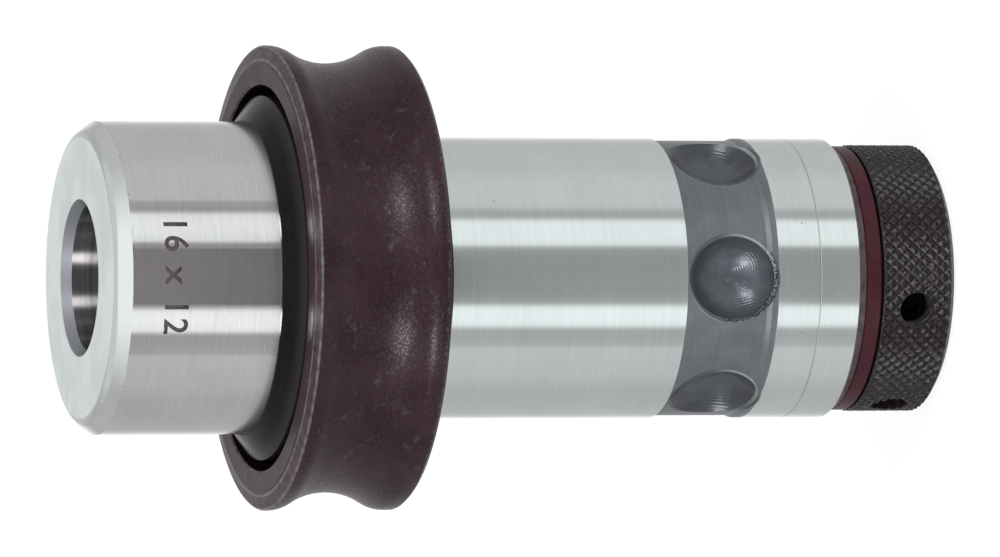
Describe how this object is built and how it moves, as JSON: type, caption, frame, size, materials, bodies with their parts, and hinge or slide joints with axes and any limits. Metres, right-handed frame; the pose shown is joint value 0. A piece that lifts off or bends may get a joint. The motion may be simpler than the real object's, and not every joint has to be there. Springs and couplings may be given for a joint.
{
  "type": "quick change tap adapter",
  "caption": "Quick change tap adapter: round shank with ball pockets, grooved release ring, bored nose for the tap, friction clutch and knurled torque nut.",
  "frame": {"origin": "centre of the flat end face of the adjusting nut, on which the adapter stands", "axes": "+Z along the spindle's axis towards the nose that takes the tap; -Y is the side that faces the picture's camera"},
  "size_m": [0.0511, 0.051, 0.0962],
  "materials": {
    "ground_steel": "cylindrically ground hardened steel",
    "shank_steel": "ground hardened steel with a dark unground band",
    "browned_steel": "dark brown oxide, satin",
    "blackened_steel": "black oxide, knurled",
    "dark_collar": "black oxide, fine turned",
    "spring_steel": "oil tempered spring steel",
    "bearing_steel": "polished ball steel",
    "bronze": "turned bearing bronze",
    "friction_lining": "pressed friction lining",
    "red_seal": "dark red fibre, satin",
    "grey_washer": "plain steel, slightly tarnished",
    "screw_steel": "black oxide set screw",
    "brass_pad": "brass"
  },
  "bodies": {
    "root": {"spindle": "ground_steel", "ring_stop": "spring_steel", "spring_collar": "dark_collar", "collar_wire": "spring_steel", "ring_spring": "spring_steel", "disc_spring_1": "spring_steel", "disc_spring_2": "spring_steel", "disc_spring_3": "spring_steel"},
    "shank": {"shank_sleeve": "shank_steel", "rear_bush": "bronze", "front_bush": "bronze", "front_lining": "friction_lining", "rear_lining": "friction_lining", "dust_seal": "red_seal", "end_washer": "grey_washer"},
    "ring": {"release_ring": "browned_steel"},
    "ball_1": {"locking_ball_1": "bearing_steel"},
    "ball_2": {"locking_ball_2": "bearing_steel"},
    "ball_3": {"locking_ball_3": "bearing_steel"},
    "washer": {"thrust_washer": "grey_washer"},
    "nut": {"adjusting_nut": "blackened_steel", "lock_pad_1": "brass_pad", "lock_pad_2": "brass_pad", "lock_screw_1": "screw_steel", "lock_screw_2": "screw_steel"}
  },
  "joints": [
    {"name": "clutch_slip", "type": "hinge", "parent": "root", "child": "shank", "pos_m": [0, 0, 0.034], "axis": [0, 0, 1], "continuous": true},
    {"name": "ring_slide", "type": "slide", "parent": "root", "child": "ring", "axis": [0, 0, 1], "range_m": [0, 0.0025], "stiffness_N_per_m": 3000, "springref_m": -0.003, "deforming": ["ring_spring"]},
    {"name": "ball_1_back_off", "type": "slide", "parent": "root", "child": "ball_1", "axis": [0, -1, 0], "range_m": [0, 0.0007507]},
    {"name": "ball_2_back_off", "type": "slide", "parent": "root", "child": "ball_2", "axis": [0.866, 0.5, 0], "range_m": [0, 0.0007507]},
    {"name": "ball_3_back_off", "type": "slide", "parent": "root", "child": "ball_3", "axis": [-0.866, 0.5, 0], "range_m": [0, 0.0007507]},
    {"name": "washer_slide", "type": "slide", "parent": "root", "child": "washer", "axis": [0, 0, 1], "range_m": [-0.00076, 0], "deforming": ["disc_spring_1", "disc_spring_2", "disc_spring_3"]},
    {"name": "nut_turn", "type": "hinge", "parent": "washer", "child": "nut", "pos_m": [0, 0, 0.00422], "axis": [0, 0, 1], "range_deg": [-180, 0]}
  ],
  "couplings": [
    {"joint": "ball_1_back_off", "follows": "ring_slide", "ratio": 0.3},
    {"joint": "ball_2_back_off", "follows": "ring_slide", "ratio": 0.3},
    {"joint": "ball_3_back_off", "follows": "ring_slide", "ratio": 0.3},
    {"joint": "washer_slide", "follows": "nut_turn", "m_per_rad": 0.00023873}
  ]
}
